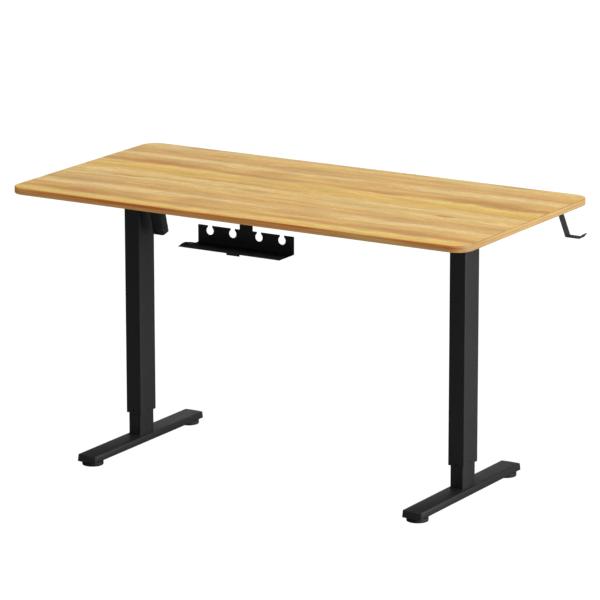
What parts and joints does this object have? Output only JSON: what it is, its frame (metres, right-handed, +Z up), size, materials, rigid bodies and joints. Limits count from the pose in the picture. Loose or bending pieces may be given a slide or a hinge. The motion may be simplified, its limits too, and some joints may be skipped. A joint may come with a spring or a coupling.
{
  "type": "height adjustable desk",
  "caption": "Height adjustable desk: an oak-look top on two telescopic black legs, with a motor drive, a handset, a cable tray and a side hook.",
  "frame": {"origin": "on the floor under the middle of the overall box at rest, hook included; the tabletop and legs are centred at x = -0.02575", "axes": "+Z up; +X along the length towards the hook; +Y towards the user, so -Y is the rear with the cable tray"},
  "size_m": [1.4516, 0.7, 0.774],
  "materials": {
    "oak_laminate": "satin oak-look laminate, grain along the length",
    "black_powder_coat": "fine black powder coat",
    "bright_steel": "zinc plated steel",
    "bronze": "machined bronze",
    "die_cast_housing": "die cast, plain",
    "black_plastic": "fine moulded texture",
    "grey_plastic": "satin moulded",
    "white_plastic": "natural acetal",
    "black_rubber": "matte moulded rubber",
    "circuit_board": "green circuit board",
    "smoked_window": "gloss smoked window"
  },
  "bodies": {
    "left_base": {"left_foot_beam": "black_powder_coat", "left_inner_column": "black_powder_coat", "left_upper_glide": "white_plastic", "left_drive_nut": "bronze"},
    "frame": {"tabletop": "oak_laminate", "left_outer_column": "black_powder_coat", "left_lower_glide": "white_plastic", "left_rear_glide_screw": "bright_steel", "left_side_glide_screw": "bright_steel", "left_gear_housing": "die_cast_housing", "left_side_bracket": "black_powder_coat", "left_rear_top_screw": "bright_steel", "left_front_top_screw": "bright_steel", "right_outer_column": "black_powder_coat", "right_lower_glide": "white_plastic", "right_rear_glide_screw": "bright_steel", "right_side_glide_screw": "bright_steel", "right_gear_housing": "die_cast_housing", "right_side_bracket": "black_powder_coat", "right_rear_top_screw": "bright_steel", "right_front_top_screw": "bright_steel", "rear_crossbeam": "black_powder_coat", "front_crossbeam": "black_powder_coat", "motor_gearbox": "black_powder_coat", "motor_housing": "black_plastic", "cable_tray": "black_powder_coat", "tray_hanger": "black_powder_coat", "hanger_screw_left": "bright_steel", "hanger_screw_right": "bright_steel", "headphone_hook": "black_powder_coat", "hook_screw_inner": "bright_steel", "hook_screw_outer": "bright_steel", "control_box_base": "black_plastic", "control_box_cover": "black_plastic", "control_board": "circuit_board", "handset_case": "black_plastic", "handset_display": "smoked_window", "motor_lead": "black_rubber", "handset_lead": "black_rubber"},
    "left_screw": {"left_lead_screw": "bright_steel", "left_screw_gear": "bright_steel"},
    "left_rear_foot_pad": {"left_rear_pad": "black_rubber"},
    "left_front_foot_pad": {"left_front_pad": "black_rubber"},
    "right_base": {"right_foot_beam": "black_powder_coat", "right_inner_column": "black_powder_coat", "right_upper_glide": "white_plastic", "right_drive_nut": "bronze"},
    "right_screw": {"right_lead_screw": "bright_steel", "right_screw_gear": "bright_steel"},
    "right_rear_foot_pad": {"right_rear_pad": "black_rubber"},
    "right_front_foot_pad": {"right_front_pad": "black_rubber"},
    "shaft": {"drive_shaft": "bright_steel", "left_shaft_pinion": "bright_steel", "right_shaft_pinion": "bright_steel", "worm_wheel": "bronze"},
    "rotor": {"motor_rotor": "bright_steel"},
    "up_key": {"up_button": "grey_plastic"},
    "down_key": {"down_button": "grey_plastic"},
    "preset_one_key": {"preset_one_button": "grey_plastic"},
    "preset_two_key": {"preset_two_button": "grey_plastic"}
  },
  "joints": [
    {"name": "lift", "type": "slide", "parent": "left_base", "child": "frame", "axis": [0, 0, 1], "range_m": [-0.054, 0.406]},
    {"name": "right_leg_lift", "type": "slide", "parent": "frame", "child": "right_base", "axis": [0, 0, -1], "range_m": [-0.0541, 0.4061]},
    {"name": "left_screw_turn", "type": "hinge", "parent": "frame", "child": "left_screw", "pos_m": [-0.53525, 0, 0.726], "axis": [0, 0, 1], "range_deg": [-1621, 12181]},
    {"name": "right_screw_turn", "type": "hinge", "parent": "frame", "child": "right_screw", "pos_m": [0.48375, 0, 0.726], "axis": [0, 0, 1], "range_deg": [-1621, 12181]},
    {"name": "shaft_turn", "type": "hinge", "parent": "frame", "child": "shaft", "pos_m": [-0.02575, 0, 0.726], "axis": [1, 0, 0], "range_deg": [-1621, 12181]},
    {"name": "rotor_turn", "type": "hinge", "parent": "frame", "child": "rotor", "pos_m": [-0.47375, -0.01686, 0.72132], "axis": [0, -0.2672, 0.9636], "range_deg": [-16201, 121801]},
    {"name": "left_rear_pad_level", "type": "slide", "parent": "left_base", "child": "left_rear_foot_pad", "axis": [0, 0, -1], "range_m": [0, 0.01]},
    {"name": "left_front_pad_level", "type": "slide", "parent": "left_base", "child": "left_front_foot_pad", "axis": [0, 0, -1], "range_m": [0, 0.01]},
    {"name": "right_rear_pad_level", "type": "slide", "parent": "right_base", "child": "right_rear_foot_pad", "axis": [0, 0, -1], "range_m": [0, 0.01]},
    {"name": "right_front_pad_level", "type": "slide", "parent": "right_base", "child": "right_front_foot_pad", "axis": [0, 0, -1], "range_m": [0, 0.01]},
    {"name": "up_press", "type": "slide", "parent": "frame", "child": "up_key", "axis": [0, -1, 0], "range_m": [0, 0.0012], "stiffness_N_per_m": 600, "springref_m": -0.001},
    {"name": "down_press", "type": "slide", "parent": "frame", "child": "down_key", "axis": [0, -1, 0], "range_m": [0, 0.0012], "stiffness_N_per_m": 600, "springref_m": -0.001},
    {"name": "preset_one_press", "type": "slide", "parent": "frame", "child": "preset_one_key", "axis": [0, -1, 0], "range_m": [0, 0.0012], "stiffness_N_per_m": 600, "springref_m": -0.001},
    {"name": "preset_two_press", "type": "slide", "parent": "frame", "child": "preset_two_key", "axis": [0, -1, 0], "range_m": [0, 0.0012], "stiffness_N_per_m": 600, "springref_m": -0.001}
  ],
  "couplings": [
    {"joint": "right_leg_lift", "follows": "lift", "ratio": 1},
    {"joint": "left_screw_turn", "follows": "lift", "rad_per_m": 523.6},
    {"joint": "right_screw_turn", "follows": "lift", "rad_per_m": 523.6},
    {"joint": "shaft_turn", "follows": "lift", "rad_per_m": 523.6},
    {"joint": "rotor_turn", "follows": "lift", "rad_per_m": 5236}
  ]
}
